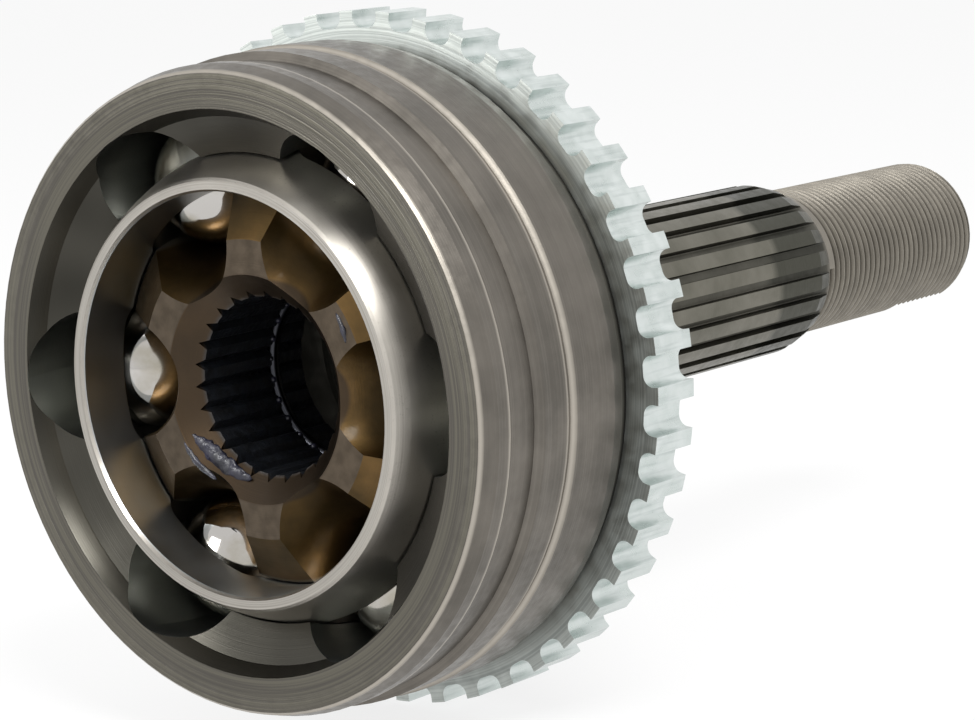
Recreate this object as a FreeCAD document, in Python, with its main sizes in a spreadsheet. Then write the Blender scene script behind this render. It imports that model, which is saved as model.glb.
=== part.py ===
import FreeCAD, Part
import math
import os
import Sketcher

# Outer constant-velocity joint of a front-wheel-drive car, fixed-ball (Rzeppa) type.
# Frame: origin at the joint centre, +Y along the stub axle, the mouth faces -Y, +Z is up.
# All lengths are millimetres. A station is a position along +Y.

doc = FreeCAD.newDocument("cv_joint")
sizes = doc.addObject("Spreadsheet::Sheet", "sizes")

# ---------------------------------------------------------------- driving dimensions
DRIVING = [
    # bell, from the mouth back to the bearing shoulder
    ("mouth_station", "-17.6", "front plane of the bell lip"),
    ("lip_inner_radius", "38.2", "inner edge of the lip face"),
    ("lip_outer_radius", "42.9", "outer edge of the lip face"),
    ("lip_chamfer_radius", "43.3", "lip edge break, large end"),
    ("lip_chamfer_station", "-17.2", "lip edge break, rear end"),
    ("flare_radius", "37", "middle of the flared entry"),
    ("flare_station", "-15", "middle of the flared entry"),
    ("seat_front_station", "-12", "where the flare meets the ball seat"),
    ("front_band_radius", "44", "crowned band behind the lip"),
    ("front_band_start", "-14.8", "front of the crowned band"),
    ("front_band_end", "-12.5", "rear of the crowned band"),
    ("boot_groove_radius", "43.65", "floor of the boot groove"),
    ("boot_groove_start", "-12.1", "front of the boot groove floor"),
    ("boot_groove_end", "-7.2", "rear of the boot groove floor"),
    ("clamp_band_radius", "44.8", "band behind the boot groove"),
    ("clamp_band_start", "-6.4", "front of the band"),
    ("clamp_band_end", "-1.6", "rear of the band"),
    ("bead_radius", "44.55", "floor of the narrow groove"),
    ("bead_start", "-1.35", "front of the narrow groove floor"),
    ("bead_end", "-0.85", "rear of the narrow groove floor"),
    ("rear_band_radius", "45.2", "plain rear band"),
    ("rear_band_start", "-0.3", "front of the rear band"),
    ("rear_band_end", "7.8", "rear of the rear band"),
    ("shoulder_mid_radius", "44.75", "rounded rear edge, middle"),
    ("shoulder_mid_station", "10", "rounded rear edge, middle"),
    ("stop_height", "0.6", "height of the small shoulder that stops the tone ring"),
    ("stop_start", "11.2", "front of that shoulder"),
    ("ring_seat_radius", "43", "seat of the tone ring"),
    ("ring_seat_start", "12.4", "front of the seat"),
    ("ring_seat_end", "20.8", "rear of the seat"),
    ("dome_drop", "1.8", "step down from the ring seat to the rear cone"),
    ("dome_start", "22.6", "front of the rear cone"),
    ("bearing_face_radius", "27", "flat face against the wheel bearing"),
    ("bearing_face_station", "40", "plane of that face"),
    ("bearing_chamfer", "1.2", "edge break of that face"),
    # cavity
    ("seat_end_station", "26", "rear end of the spherical seat"),
    ("cavity_floor_radius", "19", "flat floor of the cavity"),
    ("cavity_floor_station", "28", "plane of that floor"),
    # stub axle
    ("pilot_radius", "16.5", "plain pilot journal"),
    ("pilot_end", "47.5", "end of the journal"),
    ("pilot_chamfer", "0.6", "edge break of the journal"),
    ("undercut_radius", "16", "grinding relief beside the bearing face"),
    ("undercut_width", "1.8", "length of that relief"),
    ("face_relief_radius", "17.4", "where the relief leaves the bearing face"),
    ("face_relief_depth", "0.3", "depth of the relief in the bearing face"),
    ("spline_radius", "13.85", "outside of the stub spline"),
    ("spline_start", "49.8", "start of the full spline"),
    ("spline_end", "105.4", "end of the full spline"),
    ("runout_mid_radius", "13.15", "rounded spline end, middle"),
    ("runout_mid_station", "108.4", "rounded spline end, middle"),
    ("runout_end", "110.4", "end of the rounded spline end"),
    ("spline_root_radius", "12.6", "floor of the spline grooves"),
    ("spline_groove_width", "1.45", "width of a spline groove"),
    ("spline_corner", "0.25", "corner radius in a spline groove"),
    ("spline_teeth", "23", "teeth on the stub"),
    ("spline_phase", "2.1", "angle of the first groove"),
    ("thread_radius", "12", "M24 major radius"),
    ("thread_pitch", "1.5", "M24 x 1.5"),
    ("thread_start", "111.2", "first full groove of the thread"),
    ("stub_end_station", "156.4", "end face of the stub"),
    ("end_chamfer", "1.6", "lead-in of the thread"),
    ("centre_radius", "3.4", "centre drilling, mouth"),
    ("centre_pilot_radius", "1.5", "centre drilling, pilot"),
    ("centre_depth", "3", "centre drilling, cone depth"),
    ("centre_pilot_depth", "6.5", "centre drilling, total depth"),
    ("stake_width", "6.4", "slot that the hub nut is staked into"),
    ("stake_floor_radius", "10.8", "floor of the staking slot"),
    ("stake_length", "17", "length of the staking slot"),
    ("stake_phase", "-76.5", "angle of the staking slot"),
    # ball circle
    ("ball_count", "6", "balls"),
    ("pitch_radius", "30.8", "ball centres at rest"),
    ("ball_radius", "9.13", "18.26 mm, 23/32 inch ball"),
    ("track_offset", "4.5", "track centres before and behind the joint centre"),
    ("track_gap", "0.2", "running clearance, ball to track"),
    ("track_front_angle", "62", "track sweep towards the mouth"),
    ("track_rear_angle", "46", "track sweep towards the floor"),
    # cage
    ("cage_outer_radius", "33.85", "sphere that runs in the bell"),
    ("cage_inner_radius", "28.6", "sphere that carries the inner race"),
    ("sphere_gap", "0.3", "running clearance, sphere to sphere"),
    ("cage_front_width", "17.6", "front rim plane, ahead of the joint centre"),
    ("cage_rear_width", "15", "rear rim plane, behind the joint centre"),
    ("cage_rim_outer_radius", "28.8", "outer edge of the front rim"),
    ("cage_rear_outer_radius", "30", "outer edge of the rear rim"),
    ("cage_rim_inner_radius", "27.6", "inner edge of the rim"),
    ("cage_opening_radius", "27.3", "bore of the cage ends"),
    ("cage_bevel", "0.6", "depth of the inner bevel"),
    ("cage_shoulder", "0.4", "depth of the outer bevel"),
    ("window_gap", "0.45", "ball to window, along the axis"),
    ("window_half_length", "10.7", "half the window along the rim"),
    ("window_corner", "4", "window corner radius"),
    # inner race
    ("race_half_width", "12.4", "faces of the inner race"),
    ("race_face_radius", "20.35", "outer edge of its flat faces"),
    ("race_bevel_station", "8.3", "where the bevel meets the sphere"),
    ("bore_radius", "12.2", "tips of the bore spline"),
    ("bore_chamfer_radius", "15.6", "mouth of the bore"),
    ("bore_rear_radius", "13.9", "rear edge of the bore"),
    ("bore_groove_radius", "13.15", "roots of the bore spline"),
    ("bore_groove_width", "2.1", "width of a bore groove at its tips"),
    ("bore_teeth", "26", "teeth in the bore"),
    ("bore_phase", "197.4", "angle of the first bore groove"),
    # retaining circlip
    ("wire_radius", "0.8", "circlip wire"),
    ("circlip_radius", "12.75", "centre line of the wire"),
    ("circlip_station", "5.3", "plane of the circlip"),
    ("circlip_angle", "332", "arc of the circlip, the rest is its gap"),
    ("circlip_gap", "0.02", "wire to groove wall"),
    ("circlip_side_gap", "0.05", "wire to groove sides"),
    # tone ring
    ("tone_wall", "3.5", "tone ring, bore to gullet floor"),
    ("tone_tooth_height", "2.3", "height of its teeth"),
    ("tone_width", "8", "width of the tone ring"),
    ("tone_bevel", "0.5", "edge break of its bore"),
    ("tone_teeth", "46", "teeth"),
    ("gullet_width", "4.25", "width of a gullet"),
    ("gullet_corner", "1.5", "corner radius of a gullet"),
    ("tone_phase", "9.56", "angle of the first gullet"),
    ("press_gap", "0.01", "line-to-line press fit"),
]

# ---------------------------------------------------------------- worked-out dimensions
DERIVED = [
    ("stop_radius", "=ring_seat_radius + stop_height", "shoulder beside the ring seat"),
    ("dome_radius", "=ring_seat_radius - dome_drop", "front of the rear cone"),
    ("tone_root_radius", "=ring_seat_radius + tone_wall", "gullets of the tone ring"),
    ("tone_radius", "=tone_root_radius + tone_tooth_height", "tips of the tone ring"),
    ("seat_radius", "=cage_outer_radius + sphere_gap", "spherical seat in the bell"),
    ("race_radius", "=cage_inner_radius - sphere_gap", "sphere of the inner race"),
    ("track_radius", "=ball_radius + track_gap", "section of every ball track"),
    ("track_path", "=sqrt(pitch_radius^2 + track_offset^2)", "radius of the ball path"),
    ("undercut_end", "=bearing_face_station + undercut_width", "rear of the relief"),
    ("face_relief_station", "=bearing_face_station - face_relief_depth", "bottom of the relief"),
    ("pilot_round", "=pilot_end - pilot_chamfer", "start of the journal edge break"),
    ("pilot_round_radius", "=pilot_radius - pilot_chamfer", "small end of that edge break"),
    ("bearing_edge_radius", "=bearing_face_radius + bearing_chamfer", "rim of the face"),
    ("bearing_edge_station", "=bearing_face_station - bearing_chamfer", "rim of the face"),
    ("thread_end", "=stub_end_station - end_chamfer", "start of the lead-in"),
    ("end_radius", "=thread_radius - end_chamfer", "small end of the lead-in"),
    ("centre_cone", "=stub_end_station - centre_depth", "bottom of the centre cone"),
    ("centre_bottom", "=stub_end_station - centre_pilot_depth", "bottom of the drilling"),
    ("runout_end_radius", "=thread_radius + 0.1", "small end of the spline end"),
    ("cage_front", "=-cage_front_width", "front rim plane"),
    ("cage_bevel_front", "=-cage_front_width + cage_bevel", "inner bevel, front"),
    ("cage_bevel_rear", "=cage_rear_width - cage_bevel", "inner bevel, rear"),
    ("cage_edge_front", "=-cage_front_width + cage_shoulder", "outer bevel, front"),
    ("cage_edge_rear", "=cage_rear_width - cage_shoulder", "outer bevel, rear"),
    ("window_half_width", "=ball_radius + window_gap", "half the window along Y"),
    ("window_low", "=-window_half_length", "window, lower edge"),
    ("window_left", "=-window_half_width", "window, front edge"),
    ("race_front", "=-race_half_width", "front face of the inner race"),
    ("race_bevel_front", "=-race_bevel_station", "front bevel"),
    ("bore_front", "=-race_half_width + bore_chamfer_radius - bore_radius", "bore start"),
    ("bore_rear", "=race_half_width - bore_rear_radius + bore_radius", "bore end"),
    ("clip_groove_radius", "=circlip_radius + wire_radius + circlip_gap", "groove floor"),
    ("clip_groove_front", "=circlip_station - wire_radius - circlip_side_gap", "side"),
    ("clip_groove_rear", "=circlip_station + wire_radius + circlip_side_gap", "side"),
    ("bore_half_groove", "=bore_groove_width / 2", "half a bore groove"),
    ("bore_half_groove_left", "=-bore_groove_width / 2", "half a bore groove"),
    ("bore_tip_inside", "=bore_radius - 0.4", "start of the cut, inside the bore"),
    ("spline_half_groove", "=spline_groove_width / 2", "half a spline groove"),
    ("spline_half_groove_left", "=-spline_groove_width / 2", "half a spline groove"),
    ("spline_cut_top", "=spline_radius + 1", "outside of the spline cut"),
    ("spline_cut_length", "=runout_end - spline_start", "length of the spline cut"),
    ("half_gullet", "=gullet_width / 2", "half a gullet"),
    ("half_gullet_left", "=-gullet_width / 2", "half a gullet"),
    ("gullet_top", "=tone_radius + 3", "outside of the gullet cut"),
    ("tone_bore_radius", "=ring_seat_radius + press_gap", "bore of the tone ring"),
    ("tone_bevel_radius", "=tone_bore_radius + tone_bevel", "bore edge break"),
    ("tone_bevel_station", "=ring_seat_start + tone_width - tone_bevel", "edge break"),
    ("tone_end", "=ring_seat_start + tone_width", "rear face of the tone ring"),
    ("thread_depth", "=0.6134 * thread_pitch", "depth of the thread"),
    ("thread_root", "=thread_radius - thread_depth", "root of the thread"),
    ("thread_top", "=thread_radius + 0.1", "outside of the thread cut"),
    ("thread_half_root", "=thread_pitch / 8", "half the flat at the root"),
    ("thread_half_top", "=thread_pitch * 0.47", "half the groove at the crest"),
    ("thread_low", "=thread_start - thread_half_top", "first groove, lower flank"),
    ("thread_high", "=thread_start + thread_half_top", "first groove, upper flank"),
    ("thread_root_low", "=thread_start - thread_half_root", "first groove, root"),
    ("thread_root_high", "=thread_start + thread_half_root", "first groove, root"),
    ("thread_height", "=stub_end_station - thread_start + thread_pitch", "cut length"),
    ("stake_half_width", "=stake_width / 2", "half the staking slot"),
    ("stake_left", "=-stake_width / 2", "half the staking slot"),
    ("stake_top", "=-stake_floor_radius", "floor of the staking slot"),
    ("stake_bottom", "=-thread_radius - 1", "outside of the staking slot"),
]

line = 0
for alias, content, note in DRIVING + DERIVED:
    line = line + 1
    sizes.set("A%d" % line, note)
    sizes.set("B%d" % line, content)
    sizes.setAlias("B%d" % line, alias)
doc.recompute()


def size(alias):
    return float(getattr(sizes, alias))


def new_body(label):
    body = doc.addObject("PartDesign::Body", label)
    body.Label = label
    return body


def origin_feature(body, role):
    for feature in body.Origin.OriginFeatures:
        if feature.Role == role:
            return feature


def new_sketch(body, label, plane, offset="", turn=""):
    # offset runs along the plane's normal, turn about it
    sketch = body.newObject("Sketcher::SketchObject", label)
    sketch.AttachmentSupport = [(origin_feature(body, plane), "")]
    sketch.MapMode = "FlatFace"
    if offset:
        sketch.setExpression("AttachmentOffset.Base.z", offset)
    if turn:
        sketch.setExpression("AttachmentOffset.Rotation.Angle", turn)
    return sketch


def bind(sketch, kind, geometry, point, alias):
    row = sketch.addConstraint(Sketcher.Constraint(kind, -1, 1, geometry, point, size(alias)))
    sketch.setExpression("Constraints[%d]" % row, "sizes." + alias)


def outline(sketch, corners, arcs):
    # corners: aliases of x and y, "" where an arc about the origin fixes that coordinate
    # arcs: {index of the side: alias of its radius}
    count = len(corners)
    radius_at = {}
    for side in arcs:
        radius_at[side] = size(arcs[side])
        radius_at[(side + 1) % count] = size(arcs[side])
    points = []
    for index in range(count):
        across, along = corners[index]
        if across == "" and along == "":
            raise ValueError("corner without a size")
        x = size(across) if across not in ("", "0") else 0.0
        y = size(along) if along not in ("", "0") else 0.0
        if across == "":
            x = math.sqrt(radius_at[index] ** 2 - y ** 2)
        if along == "":
            y = math.copysign(math.sqrt(radius_at[index] ** 2 - x ** 2), index - count / 2.5)
        points.append(FreeCAD.Vector(x, y, 0))
    ends = []
    for side in range(count):
        first = points[side]
        last = points[(side + 1) % count]
        if side in arcs:
            circle = Part.Circle(FreeCAD.Vector(0, 0, 0), FreeCAD.Vector(0, 0, 1), radius_at[side])
            low = math.atan2(first.y, first.x)
            high = math.atan2(last.y, last.x)
            forward = high > low
            arc = Part.ArcOfCircle(circle, min(low, high), max(low, high))
            geometry = sketch.addGeometry(arc, False)
            sketch.addConstraint(Sketcher.Constraint("Coincident", geometry, 3, -1, 1))
            row = sketch.addConstraint(Sketcher.Constraint("Radius", geometry, radius_at[side]))
            sketch.setExpression("Constraints[%d]" % row, "sizes." + arcs[side])
            ends.append((geometry, 1, 2) if forward else (geometry, 2, 1))
        else:
            geometry = sketch.addGeometry(Part.LineSegment(first, last), False)
            ends.append((geometry, 1, 2))
    for side in range(count):
        geometry, start, end = ends[side]
        following, following_start, following_end = ends[(side + 1) % count]
        joint = Sketcher.Constraint("Coincident", geometry, end, following, following_start)
        sketch.addConstraint(joint)
    for index in range(count):
        geometry, start, end = ends[index]
        across, along = corners[index]
        if across == "0":
            sketch.addConstraint(Sketcher.Constraint("PointOnObject", geometry, start, -2))
        elif across:
            bind(sketch, "DistanceX", geometry, start, across)
        if along == "0":
            sketch.addConstraint(Sketcher.Constraint("PointOnObject", geometry, start, -1))
        elif along:
            bind(sketch, "DistanceY", geometry, start, along)


def rounded_box(sketch, left, right, low, high, corner):
    # a rectangle with four equal corner radii, every side bound to a cell
    x0 = size(left)
    x1 = size(right)
    y0 = size(low)
    y1 = size(high)
    r = size(corner)
    V = FreeCAD.Vector
    sides = [
        Part.LineSegment(V(x0 + r, y0, 0), V(x1 - r, y0, 0)),
        Part.LineSegment(V(x1, y0 + r, 0), V(x1, y1 - r, 0)),
        Part.LineSegment(V(x1 - r, y1, 0), V(x0 + r, y1, 0)),
        Part.LineSegment(V(x0, y1 - r, 0), V(x0, y0 + r, 0)),
    ]
    centres = [V(x1 - r, y0 + r, 0), V(x1 - r, y1 - r, 0), V(x0 + r, y1 - r, 0), V(x0 + r, y0 + r, 0)]
    up = V(0, 0, 1)
    lines = [sketch.addGeometry(side, False) for side in sides]
    arcs = []
    for index in range(4):
        begin = math.pi * (index - 1) / 2
        arc = Part.ArcOfCircle(Part.Circle(centres[index], up, r), begin, begin + math.pi / 2)
        arcs.append(sketch.addGeometry(arc, False))
    for index in range(4):
        following = lines[(index + 1) % 4]
        sketch.addConstraint(Sketcher.Constraint("Tangent", lines[index], 2, arcs[index], 1))
        sketch.addConstraint(Sketcher.Constraint("Tangent", arcs[index], 2, following, 1))
    sketch.addConstraint(Sketcher.Constraint("Horizontal", lines[0]))
    sketch.addConstraint(Sketcher.Constraint("Vertical", lines[1]))
    sketch.addConstraint(Sketcher.Constraint("Horizontal", lines[2]))
    sketch.addConstraint(Sketcher.Constraint("Vertical", lines[3]))
    for index in range(1, 4):
        sketch.addConstraint(Sketcher.Constraint("Equal", arcs[0], arcs[index]))
    row = sketch.addConstraint(Sketcher.Constraint("Radius", arcs[0], r))
    sketch.setExpression("Constraints[%d]" % row, "sizes." + corner)
    bind(sketch, "DistanceX", lines[1], 1, right)
    bind(sketch, "DistanceX", lines[3], 1, left)
    bind(sketch, "DistanceY", lines[0], 1, low)
    bind(sketch, "DistanceY", lines[2], 1, high)


def circle_at(sketch, x_alias, y_alias, radius_alias):
    centre = FreeCAD.Vector(size(x_alias), size(y_alias) if y_alias else 0, 0)
    circle = Part.Circle(centre, FreeCAD.Vector(0, 0, 1), size(radius_alias))
    geometry = sketch.addGeometry(circle, False)
    bind(sketch, "DistanceX", geometry, 3, x_alias)
    if y_alias:
        bind(sketch, "DistanceY", geometry, 3, y_alias)
    else:
        sketch.addConstraint(Sketcher.Constraint("PointOnObject", geometry, 3, -1))
    row = sketch.addConstraint(Sketcher.Constraint("Radius", geometry, size(radius_alias)))
    sketch.setExpression("Constraints[%d]" % row, "sizes." + radius_alias)


def revolve(body, label, sketch, kind="PartDesign::Revolution"):
    feature = body.newObject(kind, label)
    feature.Profile = sketch
    feature.ReferenceAxis = (sketch, ["V_Axis"])
    feature.Angle = 360
    sketch.Visibility = False
    return feature


def polar(body, label, feature, count_text):
    pattern = body.newObject("PartDesign::PolarPattern", label)
    pattern.Originals = [feature]
    pattern.Axis = (origin_feature(body, "Y_Axis"), [""])
    pattern.Angle = 360
    pattern.setExpression("Occurrences", count_text)
    body.Tip = pattern
    doc.recompute()
    return pattern


# ---------------------------------------------------------------- outer race
outer = new_body("outer_race")
profile = new_sketch(outer, "bell_and_stub_profile", "XY_Plane")
outline(
    profile,
    [
        ("0", "centre_bottom"),
        ("centre_pilot_radius", "centre_bottom"),
        ("centre_pilot_radius", "centre_cone"),
        ("centre_radius", "stub_end_station"),
        ("end_radius", "stub_end_station"),
        ("thread_radius", "thread_end"),
        ("thread_radius", "runout_end"),
        ("runout_end_radius", "runout_end"),
        ("runout_mid_radius", "runout_mid_station"),
        ("spline_radius", "spline_end"),
        ("spline_radius", "spline_start"),
        ("pilot_round_radius", "pilot_end"),
        ("pilot_radius", "pilot_round"),
        ("pilot_radius", "undercut_end"),
        ("undercut_radius", "undercut_end"),
        ("undercut_radius", "face_relief_station"),
        ("face_relief_radius", "bearing_face_station"),
        ("bearing_face_radius", "bearing_face_station"),
        ("bearing_edge_radius", "bearing_edge_station"),
        ("dome_radius", "dome_start"),
        ("ring_seat_radius", "ring_seat_end"),
        ("ring_seat_radius", "ring_seat_start"),
        ("stop_radius", "ring_seat_start"),
        ("stop_radius", "stop_start"),
        ("shoulder_mid_radius", "shoulder_mid_station"),
        ("rear_band_radius", "rear_band_end"),
        ("rear_band_radius", "rear_band_start"),
        ("bead_radius", "bead_end"),
        ("bead_radius", "bead_start"),
        ("clamp_band_radius", "clamp_band_end"),
        ("clamp_band_radius", "clamp_band_start"),
        ("boot_groove_radius", "boot_groove_end"),
        ("boot_groove_radius", "boot_groove_start"),
        ("front_band_radius", "front_band_end"),
        ("front_band_radius", "front_band_start"),
        ("lip_chamfer_radius", "lip_chamfer_station"),
        ("lip_outer_radius", "mouth_station"),
        ("lip_inner_radius", "mouth_station"),
        ("flare_radius", "flare_station"),
        ("", "seat_front_station"),
        ("", "seat_end_station"),
        ("cavity_floor_radius", "cavity_floor_station"),
        ("0", "cavity_floor_station"),
    ],
    {39: "seat_radius"},
)
revolve(outer, "bell_and_stub", profile)
doc.recompute()

# ball tracks: arcs about a point ahead of the joint centre, one swept cut repeated round Y
track_sketch = new_sketch(outer, "track_section", "XZ_Plane", "sizes.track_offset")
circle_at(track_sketch, "track_path", "", "track_radius")
track = revolve(outer, "ball_track", track_sketch, "PartDesign::Groove")
track.Type = "TwoAngles"
track.setExpression("Angle", "sizes.track_rear_angle")
track.setExpression("Angle2", "sizes.track_front_angle")
doc.recompute()
polar(outer, "ball_tracks", track, "sizes.ball_count")

# stub spline
spline_turn = "sizes.spline_phase - 90"
groove_sketch = new_sketch(
    outer, "spline_groove_section", "XZ_Plane", "-sizes.spline_start", spline_turn
)
rounded_box(
    groove_sketch,
    "spline_half_groove_left",
    "spline_half_groove",
    "spline_root_radius",
    "spline_cut_top",
    "spline_corner",
)
spline_cut = outer.newObject("PartDesign::Pocket", "spline_groove")
spline_cut.Profile = groove_sketch
spline_cut.setExpression("Length", "sizes.spline_cut_length")
doc.recompute()
polar(outer, "stub_spline", spline_cut, "sizes.spline_teeth")

# staking slot along the side of the thread, open at the end face
slot_turn = "sizes.stake_phase + 90"
slot_sketch = new_sketch(
    outer, "staking_slot_section", "XZ_Plane", "-sizes.stub_end_station", slot_turn
)
outline(
    slot_sketch,
    [
        ("stake_left", "stake_bottom"),
        ("stake_half_width", "stake_bottom"),
        ("stake_half_width", "stake_top"),
        ("stake_left", "stake_top"),
    ],
    {},
)
slot = outer.newObject("PartDesign::Pocket", "staking_slot")
slot.Profile = slot_sketch
slot.setExpression("Length", "sizes.stake_length")
slot.Reversed = True
doc.recompute()

# hub nut thread, a true right-hand helix
thread_sketch = new_sketch(outer, "thread_section", "XY_Plane")
outline(
    thread_sketch,
    [
        ("thread_top", "thread_low"),
        ("thread_top", "thread_high"),
        ("thread_root", "thread_root_high"),
        ("thread_root", "thread_root_low"),
    ],
    {},
)
thread = outer.newObject("PartDesign::SubtractiveHelix", "hub_nut_thread")
thread.Profile = thread_sketch
thread.ReferenceAxis = (thread_sketch, ["V_Axis"])
thread.Mode = 0
thread.setExpression("Pitch", "sizes.thread_pitch")
thread.setExpression("Height", "sizes.thread_height")
thread.Angle = 0
thread.LeftHanded = False
thread.Reversed = False
doc.recompute()

# ---------------------------------------------------------------- tone ring
tone = new_body("abs_ring")
tone_profile = new_sketch(tone, "ring_profile", "XY_Plane")
outline(
    tone_profile,
    [
        ("tone_bore_radius", "ring_seat_start"),
        ("tone_radius", "ring_seat_start"),
        ("tone_radius", "tone_end"),
        ("tone_bevel_radius", "tone_end"),
        ("tone_bore_radius", "tone_bevel_station"),
    ],
    {},
)
revolve(tone, "ring_blank", tone_profile)
doc.recompute()
gullet_turn = "sizes.tone_phase - 90"
gullet_sketch = new_sketch(tone, "gullet_section", "XZ_Plane", "", gullet_turn)
rounded_box(
    gullet_sketch, "half_gullet_left", "half_gullet", "tone_root_radius", "gullet_top", "gullet_corner"
)
gullet = tone.newObject("PartDesign::Pocket", "gullet")
gullet.Profile = gullet_sketch
gullet.Type = "ThroughAll"
gullet.Midplane = True
doc.recompute()
polar(tone, "gullets", gullet, "sizes.tone_teeth")

# ---------------------------------------------------------------- cage
cage = new_body("cage")
cage_profile = new_sketch(cage, "cage_profile", "XY_Plane")
outline(
    cage_profile,
    [
        ("cage_rim_outer_radius", "cage_front"),
        ("cage_rim_inner_radius", "cage_front"),
        ("cage_opening_radius", "cage_bevel_front"),
        ("cage_opening_radius", ""),
        ("cage_opening_radius", ""),
        ("cage_opening_radius", "cage_bevel_rear"),
        ("cage_rim_inner_radius", "cage_rear_width"),
        ("cage_rear_outer_radius", "cage_rear_width"),
        ("", "cage_edge_rear"),
        ("", "cage_edge_front"),
    ],
    {3: "cage_inner_radius", 8: "cage_outer_radius"},
)
revolve(cage, "cage_ring", cage_profile)
doc.recompute()
window_sketch = new_sketch(cage, "window_section", "YZ_Plane")
rounded_box(
    window_sketch,
    "window_left",
    "window_half_width",
    "window_low",
    "window_half_length",
    "window_corner",
)
window = cage.newObject("PartDesign::Pocket", "window")
window.Profile = window_sketch
window.Type = "ThroughAll"
window.Reversed = True
doc.recompute()
polar(cage, "windows", window, "sizes.ball_count")

# ---------------------------------------------------------------- inner race
race = new_body("inner_race")
race_profile = new_sketch(race, "race_profile", "XY_Plane")
outline(
    race_profile,
    [
        ("bore_radius", "bore_front"),
        ("bore_chamfer_radius", "race_front"),
        ("race_face_radius", "race_front"),
        ("", "race_bevel_front"),
        ("", "race_bevel_station"),
        ("race_face_radius", "race_half_width"),
        ("bore_rear_radius", "race_half_width"),
        ("bore_radius", "bore_rear"),
        ("bore_radius", "clip_groove_rear"),
        ("clip_groove_radius", "clip_groove_rear"),
        ("clip_groove_radius", "clip_groove_front"),
        ("bore_radius", "clip_groove_front"),
    ],
    {3: "race_radius"},
)
revolve(race, "race_ring", race_profile)
doc.recompute()
race_track_sketch = new_sketch(race, "race_track_section", "XZ_Plane", "-sizes.track_offset")
circle_at(race_track_sketch, "track_path", "", "track_radius")
race_track = revolve(race, "race_track", race_track_sketch, "PartDesign::Groove")
race_track.Angle = 150
race_track.Midplane = True
doc.recompute()
polar(race, "race_tracks", race_track, "sizes.ball_count")
tooth_turn = "sizes.bore_phase - 90"
tooth_sketch = new_sketch(race, "bore_groove_section", "XZ_Plane", "", tooth_turn)
outline(
    tooth_sketch,
    [
        ("bore_half_groove_left", "bore_tip_inside"),
        ("bore_half_groove", "bore_tip_inside"),
        ("0", "bore_groove_radius"),
    ],
    {},
)
tooth = race.newObject("PartDesign::Pocket", "bore_groove")
tooth.Profile = tooth_sketch
tooth.Type = "ThroughAll"
tooth.Midplane = True
doc.recompute()
polar(race, "bore_spline", tooth, "sizes.bore_teeth")

# ---------------------------------------------------------------- circlip
clip = new_body("circlip")
clip_sketch = new_sketch(clip, "wire_section", "XY_Plane")
circle_at(clip_sketch, "circlip_radius", "circlip_station", "wire_radius")
clip_ring = revolve(clip, "wire_ring", clip_sketch)
clip_ring.setExpression("Angle", "sizes.circlip_angle")
doc.recompute()

# ---------------------------------------------------------------- balls
balls = []
for number in range(1, 7):
    ball = doc.addObject("Part::Sphere", "ball_%d" % number)
    ball.Label = "ball_%d" % number
    ball.setExpression("Radius", "sizes.ball_radius")
    turn = "%d * 360 / sizes.ball_count" % (number - 1)
    ball.setExpression("Placement.Base.x", "sizes.pitch_radius * cos(%s)" % turn)
    ball.setExpression("Placement.Base.z", "sizes.pitch_radius * sin(%s)" % turn)
    balls.append(ball)
doc.recompute()

# ---------------------------------------------------------------- checks and export
nodes = [outer, tone, cage, race, clip] + balls
for thing in doc.Objects:
    for state in ("Invalid", "Error"):
        if state in thing.State:
            raise RuntimeError("%s is %s" % (thing.Label, state))
os.makedirs("parts", exist_ok=True)
for node in nodes:
    shape = node.Shape
    if shape.isNull() or not shape.isValid():
        raise RuntimeError("%s has no valid solid" % node.Label)
    if len(shape.Solids) != 1:
        raise RuntimeError("%s has %d solids" % (node.Label, len(shape.Solids)))
    shape.exportStep("parts/%s.step" % node.Label)
    print(node.Label, round(shape.Volume, 1), shape.BoundBox)
print("ball path radius", round(size("track_path"), 3))
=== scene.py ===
# %% [markdown]
# # Outer constant-velocity joint
# This notebook dresses a CAD model of the outer joint of a car's driveshaft: a forged bell with
# a splined stub, a pressed-on tone ring, and inside it a cage, six balls and an inner race.
# The solids come in as a fixed frame, so every size is already right. What is left is what the
# eye reads first: how each steel part was cut, what it was coated with, and where grease sits.

import math
from functools import partial

import bmesh
import bpy
import numpy as np
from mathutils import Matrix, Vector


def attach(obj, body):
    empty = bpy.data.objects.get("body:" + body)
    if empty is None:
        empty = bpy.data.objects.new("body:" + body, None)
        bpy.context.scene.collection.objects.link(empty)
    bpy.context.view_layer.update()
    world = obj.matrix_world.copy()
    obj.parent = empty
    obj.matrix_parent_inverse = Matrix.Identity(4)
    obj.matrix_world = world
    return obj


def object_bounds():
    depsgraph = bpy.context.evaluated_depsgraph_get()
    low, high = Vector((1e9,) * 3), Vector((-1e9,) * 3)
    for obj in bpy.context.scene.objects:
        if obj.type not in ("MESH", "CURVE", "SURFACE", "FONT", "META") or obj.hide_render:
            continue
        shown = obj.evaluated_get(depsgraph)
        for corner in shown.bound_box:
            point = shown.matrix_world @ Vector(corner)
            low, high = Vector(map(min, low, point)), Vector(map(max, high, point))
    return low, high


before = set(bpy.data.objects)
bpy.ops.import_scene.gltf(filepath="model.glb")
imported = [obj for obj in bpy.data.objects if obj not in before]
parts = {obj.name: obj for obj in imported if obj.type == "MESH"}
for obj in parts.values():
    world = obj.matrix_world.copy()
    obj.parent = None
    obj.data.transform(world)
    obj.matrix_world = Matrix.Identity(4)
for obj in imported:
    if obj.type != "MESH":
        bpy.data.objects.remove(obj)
cad_box = [list(corner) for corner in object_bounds()]
scene = bpy.context.scene
print("solids", sorted(parts))

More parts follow.
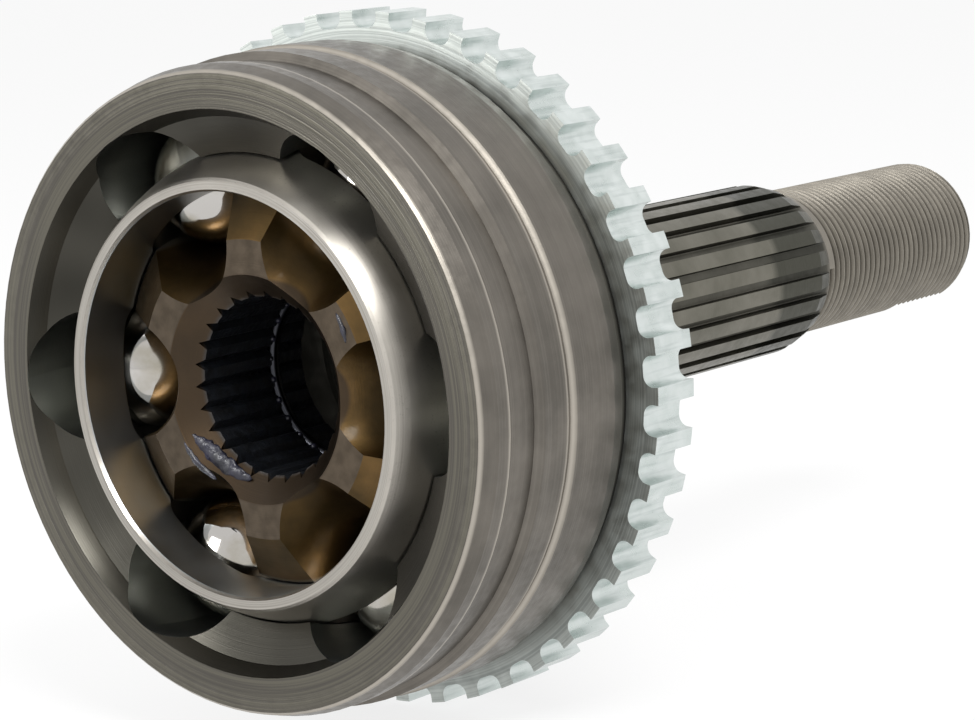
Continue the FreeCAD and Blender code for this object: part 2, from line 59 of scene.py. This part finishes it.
# %% [markdown]
# ## Colours and nodes
# Colours are written as the sRGB hex values that a paint chart or an eyedropper gives, and
# Blender wants linear light, so one function turns them. A second one adds a node with its
# settings and links, and hands back the outputs that are in use. Every material and every
# Geometry Nodes tree below is built from these two.

# %% Two helpers
def linear(hex_text):
    values = [int(hex_text[i : i + 2], 16) / 255 for i in (1, 3, 5)]
    return [v / 12.92 if v <= 0.04045 else ((v + 0.055) / 1.055) ** 2.4 for v in values] + [1.0]


def add(tree, kind, sockets=None, **settings):
    made = tree.nodes.new(kind)
    for name, value in settings.items():
        setattr(made, name, value)
    for key, value in (sockets or {}).items():
        if isinstance(value, bpy.types.NodeSocket):
            tree.links.new(value, made.inputs[key])
        else:
            is_colour = isinstance(value, str) and value.startswith("#")
            made.inputs[key].default_value = linear(value) if is_colour else value
    return [socket for socket in made.outputs if socket.enabled]


print("white is", linear("#ffffff"))

# %% [markdown]
# ## Where a point lies on the joint
# All these parts are turned on a lathe, so their finish depends on three things: how far along
# the axis a point is, how far out from it, and which way its surface faces. Object coordinates
# give all three, in millimetres, and stay with the part when the joint bends. The direction
# round the axis is kept as a unit vector instead of an angle, because an angle has a seam.

# %% Lathe coordinates
def lathe_places(node):
    place = node("ShaderNodeTexCoord")
    normal, on_object = place[1], place[3]
    point = node("ShaderNodeVectorMath", {0: on_object, "Scale": 1000.0}, operation="SCALE")[0]
    x, along, z = node("ShaderNodeSeparateXYZ", {0: point})
    across = node("ShaderNodeCombineXYZ", {0: x, 2: z})[0]
    return {
        "point": point,
        "along": along,
        "radius": node("ShaderNodeVectorMath", {0: across}, operation="LENGTH")[0],
        "heading": node("ShaderNodeVectorMath", {0: across}, operation="NORMALIZE")[0],
        "angle": node("ShaderNodeMath", {0: z, 1: x}, operation="ARCTAN2")[0],
        "facing": node("ShaderNodeSeparateXYZ", {0: normal})[1],
    }


print("lathe coordinates are in millimetres")

# %% [markdown]
# ## Zones, layers, mottle and tool marks
# Painting masks by hand would not survive a change of size, so a zone is cut by station, radius
# and facing: it is 0 before each range's first value and 1 past its second. A finish is a base
# with layers over it, each a mask, a share and a colour. Mottle is noise with a grain size in
# millimetres. Tool marks are noise stretched round the axis, so that they are fine across the
# cut and nearly constant along it, with the feed of the tool as their pitch.

# %% Zone, layers, mottle, tool marks
def zone(node, at, *ranges):
    mask = 1.0
    for measure, low, high in ranges:
        part = node("ShaderNodeMapRange", {"Value": at[measure], 1: low, 2: high})[0]
        mask = node("ShaderNodeMath", {0: part, 1: mask}, operation="MULTIPLY")[0]
    return mask


def layers(node, colour, *coats):
    for mask, share, coat in coats:
        cover = node("ShaderNodeMath", {0: mask, 1: share}, operation="MULTIPLY")[0]
        sockets = {"Factor": cover, "A": colour, "B": coat}
        colour = node("ShaderNodeMix", sockets, data_type="RGBA")[0]
    return colour


def mottle(node, at, grain, low=0.36, high=0.64, detail=4.0):
    sockets = {"Vector": at["point"], "Scale": 1 / grain, "Detail": detail}
    noise = node("ShaderNodeTexNoise", sockets)[0]
    return node("ShaderNodeMapRange", {"Value": noise, 1: low, 2: high})[0]


def tool_marks(node, at, pitch, low=0.36, high=0.64, wander=0.35):
    x, _, z = node("ShaderNodeSeparateXYZ", {0: at["heading"]})
    drift = node("ShaderNodeMath", {0: x, 1: wander}, operation="MULTIPLY")[0]
    along = {0: at["along"], 1: 1 / pitch, 2: drift}
    first = node("ShaderNodeMath", along, operation="MULTIPLY_ADD")[0]
    second = node("ShaderNodeMath", {0: at["radius"], 1: 1 / pitch}, operation="MULTIPLY")[0]
    third = node("ShaderNodeMath", {0: z, 1: wander}, operation="MULTIPLY")[0]
    vector = node("ShaderNodeCombineXYZ", {0: first, 1: second, 2: third})[0]
    noise = node("ShaderNodeTexNoise", {"Vector": vector, "Scale": 1.0, "Detail": 3.0})[0]
    return node("ShaderNodeMapRange", {"Value": noise, 1: low, 2: high})[0]


print("zones, layers, mottle and tool marks are ready")

# %% [markdown]
# ## Starting and closing a finish
# Bare and plated metal is a Principled shader with Metallic at 1 and the default IOR. The base
# colour, the roughness and a bump from the tool marks are all that changes from part to part.
# Bump wants the depth of the marks in the scene's metres.

# %% Start and close a finish
def new_finish(name, metallic=1.0):
    material = bpy.data.materials.new(name)
    material.use_nodes = True
    shader = material.node_tree.nodes["Principled BSDF"]
    shader.inputs["Metallic"].default_value = metallic
    return material, partial(add, material.node_tree), shader


def close_finish(material, node, shader, colour, roughness, height, depth_mm):
    sockets = {"Height": height, "Strength": 1.0, "Distance": depth_mm / 1000}
    bump = node("ShaderNodeBump", sockets)[0]
    for name, value in (("Base Color", colour), ("Roughness", roughness), ("Normal", bump)):
        material.node_tree.links.new(value, shader.inputs[name])
    print(material.name, "has", len(material.node_tree.nodes), "nodes")
    return material


# %% [markdown]
# ## The bell and stub: turned forging with a phosphate skin
# The outer race is one forging, turned all over, induction hardened and lightly phosphated,
# which leaves a warm dark grey, with a painted highlight along the corners of the bands. The
# lip face keeps the spiral feed marks of the facing tool, the tracks inside are ground and
# oily, with painted shade deeper in the bell, the spline has a dark band from induction
# heating, and the thread is cleaner and a little browner, with painted shade in the roots of
# spline and thread.

# %% Bell and stub: the outside
# painted highlights: a pale stripe on each corner that shines, each from one station to the
# next: lip, front band and the two sides of the bead
BELL_EDGE_HIGHLIGHTS = ((-17.6, -17.25), (-12.65, -12.35), (-1.7, -1.4), (-0.75, -0.45))
HIGHLIGHT_FADE, HIGHLIGHT_CORE = 0.35, 0.1
FEED = 0.22


def bell_outside(node, at):
    # the marks 1.1 mm wide are five times as coarse as the feed, so that they show from afar
    colour = layers(
        node,
        "#66625c",
        (mottle(node, at, 9.0), 1.0, "#77726b"),
        (tool_marks(node, at, 5 * FEED, wander=1.2), 0.22, "#55514b"),
        (tool_marks(node, at, FEED, 0.5, 0.75), 0.22, "#979188"),
    )
    for start, end in BELL_EDGE_HIGHLIGHTS:
        middle, half = (start + end) / 2, (end - start) / 2
        away = node("ShaderNodeMath", {0: at["along"], 1: middle}, operation="SUBTRACT")[0]
        near = dict(at, away=node("ShaderNodeMath", {0: away}, operation="ABSOLUTE")[0])
        corner = ("away", half + HIGHLIGHT_FADE, half - HIGHLIGHT_CORE)
        # painted highlight: a pale stripe along the corner, where light catches it
        edge_highlight = zone(node, near, corner, ("radius", 42.5, 43.0))
        colour = layers(node, colour, (edge_highlight, 0.75, "#beb7ac"))
    # painted shade: the corner in front of the tone ring is painted nearly black, for the
    # shadow in the gap there
    painted_gap_shade = zone(node, at, ("along", 11.7, 12.1), ("along", 13.2, 12.9))
    return layers(node, colour, (painted_gap_shade, 0.9, "#1d1b18"))


# %% Bell and stub: the inside
def bell_inside(node, at):
    # the tracks and the seat are ground, and the cone behind the lip is darker
    ground_and_shade = layers(
        node,
        "#8d918e",
        (mottle(node, at, 7.0, 0.3, 0.7, 1.0), 0.5, "#a3a6a2"),
        # painted shade: the tracks and the seat darken from 2 to 20 mm along, deeper in the
        # bell
        (zone(node, at, ("along", 2.0, 20.0)), 1.0, "#33302c"),
    )
    cone = layers(node, "#2f2e2a", (mottle(node, at, 16.0, 0.3, 0.7, 1.0), 1.0, "#4d4b45"))
    return layers(node, ground_and_shade, (zone(node, at, ("facing", -0.12, -0.32)), 1.0, cone))


# %% Bell and stub: the spline and the thread
SPLINE_TEETH = 23
HEAT_STEP = 3.5


def stub_metal(node, at):
    turns = {0: at["angle"], 1: SPLINE_TEETH / (2 * math.pi)}
    tooth = node("ShaderNodeMath", turns, operation="MULTIPLY")[0]
    tooth = node("ShaderNodeMath", {0: tooth}, operation="FLOOR")[0]
    chance = node("ShaderNodeTexWhiteNoise", {"W": tooth}, noise_dimensions="1D")[0]
    # the edge of the heat band steps from tooth to tooth by up to HEAT_STEP millimetres
    stepped = {0: chance, 1: HEAT_STEP, 2: at["along"]}
    heat_at = dict(at, along=node("ShaderNodeMath", stepped, operation="MULTIPLY_ADD")[0])
    heat = zone(node, heat_at, ("along", 93.6, 95.4), ("along", 111.5, 108.5))
    spline = layers(
        node,
        "#67655b",
        (mottle(node, at, 6.0, 0.3, 0.7, 2.0), 0.8, "#7d7a70"),
        (heat, 0.9, "#42423a"),
        # painted shade: the roots of the spline are darker
        (zone(node, at, ("radius", 13.5, 12.9)), 0.6, "#2e2d28"),
    )
    thread = layers(
        node,
        "#847f76",
        (mottle(node, at, 5.0, 0.3, 0.7, 2.0), 0.5, "#9d978c"),
        # painted shade: the roots of the thread are darker
        (zone(node, at, ("radius", 11.8, 11.2)), 1.0, "#46433c"),
    )
    return layers(node, spline, (zone(node, at, ("along", 108.6, 110.4)), 1.0, thread))


# %% Bell and stub: where each finish goes
LIP = (("facing", -0.8, -0.95), ("radius", 37.5, 38.4), ("along", -16.4, -17.0))
CAVITY = (("radius", 41.0, 40.6), ("along", 21.8, 21.2))
CAVITY_END = (("radius", 37.9, 37.3), ("along", 27.9, 27.6))
STUB = (("along", 49.5, 50.0),)


def turned_forging():
    material, node, shader = new_finish("phosphated_turned_forging")
    at = lathe_places(node)
    marks = tool_marks(node, at, 0.16)
    feed = tool_marks(node, at, 0.3, 0.4, 0.6, 0.9)
    lip = zone(node, at, *LIP)
    inside = zone(node, at, *CAVITY)
    inside_with_painted_shade = bell_inside(node, at)
    colour = layers(
        node,
        bell_outside(node, at),
        (inside, 1.0, inside_with_painted_shade),
        (zone(node, at, *CAVITY_END), 1.0, inside_with_painted_shade),
        (lip, 1.0, layers(node, "#56534e", (feed, 1.0, "#656259"))),
        (zone(node, at, *STUB), 1.0, stub_metal(node, at)),
    )
    dry = node("ShaderNodeMapRange", {"Value": mottle(node, at, 1.4), 3: 0.32, 4: 0.44})[0]
    wet = node("ShaderNodeMix", {"Factor": inside, "A": dry, "B": 0.3}, data_type="FLOAT")[0]
    faced = node("ShaderNodeMath", {0: feed, 1: lip}, operation="MULTIPLY")[0]
    height = {0: marks, 1: 0.5, 2: faced}
    height = node("ShaderNodeMath", height, operation="MULTIPLY_ADD")[0]
    # real feed marks are about a hundredth of a millimetre deep
    return close_finish(material, node, shader, colour, wet, height, 0.012)


# %% [markdown]
# ## Tone ring: bright zinc plate
# The ring is cut from a tube, its gullets are broached along the axis, and the whole is zinc
# plated, which reads as a cool, slightly green white. The plate shines on the teeth and stays
# duller on the front face, where the turning lines of the blank show through.

# %% Tone ring material
def zinc_plate():
    material, node, shader = new_finish("bright_zinc_plate")
    at = lathe_places(node)
    # broach marks run along the axis: noise squeezed round the ring, about 0.6 mm wide
    squeeze = {0: at["point"], 1: (1.6, 0.12, 1.6)}
    squeezed = node("ShaderNodeVectorMath", squeeze, operation="MULTIPLY")[0]
    broach = node("ShaderNodeTexNoise", {"Vector": squeezed, "Scale": 1.0, "Detail": 4.0})[0]
    broach = node("ShaderNodeMapRange", {"Value": broach, 1: 0.5, 2: 0.72})[0]
    rings = tool_marks(node, at, 0.3, 0.4, 0.6, 0.8)
    face = zone(node, at, ("facing", -0.7, -0.95))
    cloud = mottle(node, at, 2.4)
    colour = layers(
        node,
        "#ccd4d1",
        (cloud, 0.5, "#e8eceb"),
        (broach, 0.4, "#a6b0ae"),
        (face, 1.0, layers(node, "#a4a9a6", (rings, 1.0, "#bdc2be"))),
    )
    shine = node("ShaderNodeMapRange", {"Value": cloud, 3: 0.26, 4: 0.42})[0]
    roughness = {0: face, 1: 0.14, 2: shine}
    roughness = node("ShaderNodeMath", roughness, operation="MULTIPLY_ADD")[0]
    height = node("ShaderNodeMath", {0: rings, 1: face}, operation="MULTIPLY")[0]
    return close_finish(material, node, shader, colour, roughness, height, 0.005)


# %% [markdown]
# ## Cage: ground steel with oxide specks
# The cage is case hardened and then ground on both spheres and on its rims. Grinding leaves a
# bright narrow rim with fine scratches, and the sphere keeps a soft grey mottle, about 6 mm
# across, with small dark pits of scale of about a third of a millimetre.

# %% Cage material
def ground_cage():
    material, node, shader = new_finish("ground_case_hardened_cage")
    at = lathe_places(node)
    pits = node(
        "ShaderNodeMath",
        {0: mottle(node, at, 0.35, 0.6, 0.72, 2.0), 1: mottle(node, at, 4.5, 0.45, 0.6, 1.0)},
        operation="MULTIPLY",
    )[0]
    rim = zone(node, at, ("facing", -0.85, -0.97), ("along", -17.0, -17.4))
    # grinding scratches are finer than 0.12 mm on the real rim, and would not show
    grind = tool_marks(node, at, 0.12, wander=0.6)
    cloud = mottle(node, at, 6.0, 0.3, 0.7, 2.0)
    colour = layers(
        node,
        "#b0aba3",
        (cloud, 0.5, "#c8c3ba"),
        (pits, 0.3, "#6f6a63"),
        (rim, 1.0, layers(node, "#918d86", (grind, 1.0, "#aba7a0"))),
        (zone(node, at, ("radius", 28.6, 28.5), ("along", -17.2, -17.0)), 1.0, "#a7acae"),
    )
    roughness = node("ShaderNodeMapRange", {"Value": cloud, 3: 0.3, 4: 0.36})[0]
    height = node("ShaderNodeMath", {0: pits, 1: -0.3, 2: grind}, operation="MULTIPLY_ADD")[0]
    return close_finish(material, node, shader, colour, roughness, height, 0.004)


# %% [markdown]
# ## Balls: polished bearing steel
# Bearing balls are lapped to a mirror, so nearly all their looks are reflections. A thin film
# of oil breaks the mirror in patches of about 5 mm, which shows in the roughness and in a bump
# far too shallow to see from the side.

# %% Ball material
def lapped_ball():
    material, node, shader = new_finish("lapped_bearing_steel")
    at = lathe_places(node)
    film = mottle(node, at, 5.0, 0.42, 0.66)
    colour = layers(node, "#bcb9b5", (film, 1.0, "#a9a498"))
    roughness = node("ShaderNodeMapRange", {"Value": film, 3: 0.06, 4: 0.16})[0]
    return close_finish(material, node, shader, colour, roughness, film, 0.004)


# %% [markdown]
# ## Inner race: ground lands, brown preserving oil, black grease
# The inner race is ground steel that was dipped in a brown preserving oil. The oil pools in the
# six round grooves and turns them amber, the flat faces of the lands are dull under it, and the
# bore was packed with black grease. Grease isn't metal, so Metallic falls to 0 in the bore.
# A thin clear coat over the tinted metal gives the wet look.

# %% Inner race material
# lumps of grease stand this many times as high as the grinding marks
GREASE_DEPTH = 12.0


def oiled_race():
    material, node, shader = new_finish("oil_dipped_inner_race")
    at = lathe_places(node)
    pool = mottle(node, at, 6.0, 0.36, 0.66)
    face = zone(node, at, ("facing", -0.85, -0.97), ("along", -12.2, -12.35))
    bore = zone(node, at, ("radius", 13.6, 13.3), ("along", -9.4, -8.9))
    colour = layers(
        node,
        "#4a3a20",
        (pool, 1.0, "#68502e"),
        (zone(node, at, ("along", -12.0, 2.0)), 0.7, "#3a2c1b"),
        (face, 1.0, layers(node, "#42392e", (mottle(node, at, 2.0), 1.0, "#50463a"))),
        (zone(node, at, ("radius", 15.9, 15.5)), 0.85, "#3a3026"),
        (bore, 1.0, layers(node, "#0a0b0d", (mottle(node, at, 1.2), 1.0, "#15181d"))),
        (zone(node, at, ("radius", 26.6, 27.4)), 1.0, "#8c8880"),
    )
    bare = node("ShaderNodeMath", {0: 1.0, 1: bore}, operation="SUBTRACT")[0]
    material.node_tree.links.new(bare, shader.inputs["Metallic"])
    shader.inputs["Coat Weight"].default_value = 0.2
    shader.inputs["Coat Roughness"].default_value = 0.15
    oily = node("ShaderNodeMapRange", {"Value": pool, 3: 0.46, 4: 0.3})[0]
    # grinding marks are drawn at 0.2 mm, coarser than the real ones, so that they show
    marks = tool_marks(node, at, 0.2, wander=0.5)
    lumps = node("ShaderNodeMath", {0: mottle(node, at, 0.9), 1: bore}, operation="MULTIPLY")[0]
    height = {0: lumps, 1: GREASE_DEPTH, 2: marks}
    height = node("ShaderNodeMath", height, operation="MULTIPLY_ADD")[0]
    return close_finish(material, node, shader, colour, oily, height, 0.006)


# %% [markdown]
# ## Circlip: oiled spring steel
# A ring of drawn wire, blued by heat treatment and wet with grease. Drawing leaves fine lines
# along the wire, which here run round the axis and are drawn 0.15 mm apart, coarser than the
# real ones, so that they show.

# %% Circlip material
def blued_wire():
    material, node, shader = new_finish("blued_spring_wire")
    at = lathe_places(node)
    lines = tool_marks(node, at, 0.15, wander=0.3)
    colour = layers(node, "#2b2c30", (lines, 1.0, "#4a4b50"))
    roughness = node("ShaderNodeMapRange", {"Value": lines, 3: 0.2, 4: 0.32})[0]
    return close_finish(material, node, shader, colour, roughness, lines, 0.01)


# %% Put the finishes on the solids
finishes = {
    "outer_race": turned_forging(),
    "abs_ring": zinc_plate(),
    "cage": ground_cage(),
    "inner_race": oiled_race(),
    "circlip": blued_wire(),
}
ball_finish = lapped_ball()
for name, solid in parts.items():
    finish = finishes.get(name, ball_finish)
    if not solid.data.materials:
        solid.data.materials.append(finish)
    for holder in solid.material_slots:
        holder.material = finish
    print(name, "is", finish.name)

# %% [markdown]
# ## Grease
# Molybdenum grease is a dark blue-grey paste with a wet shine. It isn't metal, so it is a
# Principled shader with Metallic at 0 and a lumpy surface, and the shine changes from lump to
# lump.

# %% Grease material
def wet_grease():
    material, node, shader = new_finish("wet_molybdenum_grease", metallic=0.0)
    at = lathe_places(node)
    lumps = mottle(node, at, 0.8)
    colour = layers(node, "#101019", (mottle(node, at, 1.8), 1.0, "#242433"))
    roughness = node("ShaderNodeMapRange", {"Value": lumps, 3: 0.2, 4: 0.5})[0]
    return close_finish(material, node, shader, colour, roughness, lumps, 0.04)


grease = wet_grease()

# %% [markdown]
# ## Smears on the front of the inner race
# When a shaft is pulled out, grease stays on the chamfer of the bore and on the lands, as
# ridges with tapered ends. Sculpting them would be quicker to see and slower to repeat, so each
# ridge is a flattened tube swept along a few spots and half sunk in the steel. A sum of sines
# makes it lumpy, with nothing random in it.

# %% One smear
RING_POINTS = 12
FLATTENED = np.array([0, 0.42, 0])
# how many rings a ridge has, and its spots: angle in degrees, then radius, station and half
# width in millimetres
RIDGES = (
    (
        26,
        (
            (-152, 14.9, -11.4, 0.7),
            (-140, 14.0, -10.9, 1.6),
            (-124, 13.6, -10.7, 1.5),
            (-104, 13.2, -10.4, 0.8),
        ),
    ),
    (16, ((-150, 15.9, -12.35, 0.3), (-138, 15.8, -12.35, 0.55), (-122, 15.2, -12.2, 0.4))),
    (10, ((23, 18.6, -12.38, 0.25), (29, 19.1, -12.38, 0.5), (36, 19.3, -12.38, 0.25))),
)


def thickness(step, steps):
    taper = math.sqrt(max(0.0, 1 - (2 * step / (steps - 1) - 1) ** 4))
    return taper * (1 + 0.22 * math.sin(step * 1.9) + 0.14 * math.sin(step * 4.3 + 1))


def smear(mesh, steps, spread):
    table = np.array(spread, float)
    spots = np.linspace(0, len(table) - 1, steps)
    rows = [np.interp(spots, range(len(table)), table[:, i]) for i in range(4)]
    rings = []
    for step, (angle, radius, along, half) in enumerate(zip(*rows)):
        outward = np.array([math.cos(math.radians(angle)), 0, math.sin(math.radians(angle))])
        centre = radius * outward + [0, along, 0]
        half *= thickness(step, steps)
        ring = []
        for k in range(RING_POINTS):
            turn = 2 * math.pi * k / RING_POINTS
            lump = 1 + 0.12 * math.sin(3 * turn + step)
            offset = (outward * math.cos(turn) + FLATTENED * math.sin(turn)) * half * lump
            ring.append(mesh.verts.new(tuple((centre + offset) / 1000)))
        rings.append(ring)
    for near, far in zip(rings, rings[1:]):
        for k in range(RING_POINTS):
            after = (k + 1) % RING_POINTS
            mesh.faces.new((near[k], near[after], far[after], far[k]))
    mesh.faces.new(list(reversed(rings[0])))
    mesh.faces.new(rings[-1])


print(len(RIDGES), "ridges")

# %% Smears
smears = bmesh.new()
for steps, spread in RIDGES:
    smear(smears, steps, spread)
bmesh.ops.remove_doubles(smears, verts=smears.verts, dist=1e-6)
bmesh.ops.recalc_face_normals(smears, faces=smears.faces)
smear_mesh = bpy.data.meshes.new("grease_smears")
smears.to_mesh(smear_mesh)
smears.free()
smear_mesh.materials.append(grease)
for face in smear_mesh.polygons:
    face.use_smooth = True
smear_piece = bpy.data.objects.new("grease_smears", smear_mesh)
scene.collection.objects.link(smear_piece)
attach(smear_piece, "inner_race")
print(len(smear_mesh.polygons), "faces of smear")

# %% [markdown]
# ## Beads of grease on the serrations
# The circlip's groove cuts across the 26 serrations of the bore, and a bead of grease clings to
# each corner it leaves. That is a thing repeated round a circle, which is what Geometry Nodes
# are for: a circle with one point for each tooth, turned to the teeth, and on each point a
# small icosphere of a seeded random size. The instances are made real at the end, because the
# export drops them.

# %% Bead tree
BORE_TEETH = 26


def bead_tree():
    tree = bpy.data.node_groups.new("beads_on_serrations", "GeometryNodeTree")
    sizes = (
        ("Teeth", "NodeSocketInt", BORE_TEETH),
        ("Circle radius", "NodeSocketFloat", 0.0122),
        ("Station", "NodeSocketFloat", 0.0044),
        ("Phase", "NodeSocketFloat", math.radians(4.0)),
        ("Smallest", "NodeSocketFloat", 0.00028),
        ("Largest", "NodeSocketFloat", 0.00055),
        ("Seed", "NodeSocketInt", 7),
    )
    for name, kind, value in sizes:
        tree.interface.new_socket(name, in_out="INPUT", socket_type=kind).default_value = value
    tree.interface.new_socket("Geometry", in_out="OUTPUT", socket_type="NodeSocketGeometry")
    node = partial(add, tree)
    teeth, radius, station, phase, smallest, largest, seed, *_ = node("NodeGroupInput")
    circle = node("GeometryNodeMeshCircle", {"Vertices": teeth, "Radius": radius})[0]
    # a circle is made round Z: a quarter turn about X lays it round the joint's own axis
    turn = node("ShaderNodeCombineXYZ", {0: math.pi / 2, 1: phase})[0]
    shift = node("ShaderNodeCombineXYZ", {1: station})[0]
    placed = {"Geometry": circle, "Translation": shift, "Rotation": turn}
    ring = node("GeometryNodeTransform", placed)[0]
    size = node("FunctionNodeRandomValue", {"Min": smallest, "Max": largest, "Seed": seed})[0]
    bead = node("GeometryNodeMeshIcoSphere", {"Radius": 1.0, "Subdivisions": 2})[0]
    spots = {"Points": ring, "Instance": bead, "Scale": size}
    beads = node("GeometryNodeInstanceOnPoints", spots)[0]
    real = node("GeometryNodeRealizeInstances", {0: beads})[0]
    done = node("GeometryNodeSetMaterial", {"Geometry": real, "Material": grease})[0]
    node("NodeGroupOutput", {0: done})
    return tree


# %% Beads
bead_holder = bpy.data.objects.new("grease_beads", bpy.data.meshes.new("grease_beads"))
scene.collection.objects.link(bead_holder)
modifier = bead_holder.modifiers.new("beads", "NODES")
modifier.node_group = bead_tree()
for item in modifier.node_group.interface.items_tree:
    if item.item_type == "SOCKET" and item.in_out == "INPUT":
        modifier[item.identifier] = item.default_value
bpy.context.view_layer.update()
drawn = bead_holder.evaluated_get(bpy.context.evaluated_depsgraph_get())
bead_mesh = bpy.data.meshes.new_from_object(drawn)
bead_holder.modifiers.clear()
bead_holder.data = bead_mesh
for face in bead_mesh.polygons:
    face.use_smooth = True
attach(bead_holder, "inner_race")
print(len(bead_mesh.polygons), "faces of bead")

# %% [markdown]
# ## Camera
# A 118 mm lens from about 0.44 m, which is a product shot from close by: the near lip looks a
# little larger than the far end of the stub. The small roll is how the joint was held.

# %% Camera
camera_data = bpy.data.cameras.new("camera")
camera_data.lens = 117.6
camera_data.sensor_width = 36.0
camera_data.clip_start = 0.01
camera_data.clip_end = 20.0
camera = bpy.data.objects.new("camera", camera_data)
scene.collection.objects.link(camera)
camera.location = (0.2908, -0.31704, 0.07002)
camera.rotation_euler = [math.radians(angle) for angle in (80.836, 3.088, 38.882)]
scene.camera = camera
scene.view_settings.view_transform = "Standard"
print("camera at", tuple(round(v, 3) for v in camera.location))

# %% [markdown]
# ## Room
# Polished steel has no colour of its own to speak of, so it shows the room it is in. The room
# is white where the eye, a reflection or a refraction meets it, and a little darker as a lamp,
# so that the lamps below still shape the object.

# %% White room
def seen_directly(node):
    rays = node("ShaderNodeLightPath")
    eye, reflection, refraction = rays[0], rays[3], rays[6]
    direct = node("ShaderNodeMath", {0: eye, 1: reflection}, operation="MAXIMUM")[0]
    return node("ShaderNodeMath", {0: direct, 1: refraction}, operation="MAXIMUM")[0]


world = bpy.data.worlds.new("white_room")
scene.world = world
world.use_nodes = True
room = partial(add, world.node_tree)
backdrop = world.node_tree.nodes["Background"]
backdrop.inputs[0].default_value = linear("#ffffff")
strength = room("ShaderNodeMapRange", {"Value": seen_directly(room), 3: 0.7, 4: 1.0})[0]
world.node_tree.links.new(strength, backdrop.inputs[1])
print("room is", world.name)

# %% [markdown]
# ## Lamps
# Two soft boxes: a large one, high in front and a little to the right, draws the long
# highlights on the bands, and a smaller one on the left reaches into the mouth. Each is turned
# so that its face looks at aim.

# %% Lamps
def soft_box(name, place, aim, width, height, power):
    lamp = bpy.data.lights.new(name, "AREA")
    lamp.shape = "RECTANGLE"
    lamp.size = width
    lamp.size_y = height
    lamp.energy = power
    holder = bpy.data.objects.new(name, lamp)
    scene.collection.objects.link(holder)
    holder.location = place
    x, y, z = np.array(aim, float) - np.array(place, float)
    tilt = math.atan2(math.hypot(x, y), -z)
    holder.rotation_euler = (tilt, 0.0, math.atan2(y, x) - math.pi / 2)
    print(name, power, "W")


soft_box("key_soft_box", (0.55, -0.25, 0.75), (0, 0.02, 0), 0.5, 0.35, 8.0)
soft_box("mouth_soft_box", (-0.3, -0.75, 0.3), (0, 0, 0), 0.3, 0.4, 5.0)

# %% [markdown]
# ## Floor
# The floor is white paper. All white by its own glow it would lose the joint's shadow, and all
# matte it would look grey, so the eye sees a mix of both.

# %% Floor
FLOOR_GLOW = 0.82
FLOOR_REACH = 6.0
FLOOR_GAP = 0.0005

floor_mesh = bpy.data.meshes.new("floor")
low = cad_box[0][2] - FLOOR_GAP
sides = ((-1, -1), (1, -1), (1, 1), (-1, 1))
corners = [(x * FLOOR_REACH, y * FLOOR_REACH, low) for x, y in sides]
floor_mesh.from_pydata(corners, [], [(0, 1, 2, 3)])
floor = bpy.data.objects.new("floor", floor_mesh)
scene.collection.objects.link(floor)
paper = bpy.data.materials.new("white_paper_sweep")
paper.use_nodes = True
paper.node_tree.nodes.clear()
sheet = partial(add, paper.node_tree)
matte = sheet("ShaderNodeBsdfDiffuse", {"Color": "#f8f8f8"})[0]
glow = sheet("ShaderNodeEmission", {"Color": "#ffffff", "Strength": 1.0})[0]
glowing = {0: seen_directly(sheet), 1: FLOOR_GLOW}
share = sheet("ShaderNodeMath", glowing, operation="MULTIPLY")[0]
mixed = sheet("ShaderNodeMixShader", {0: share, 1: matte, 2: glow})[0]
sheet("ShaderNodeOutputMaterial", {0: mixed})
floor_mesh.materials.append(paper)
print("floor at", round(low, 4))
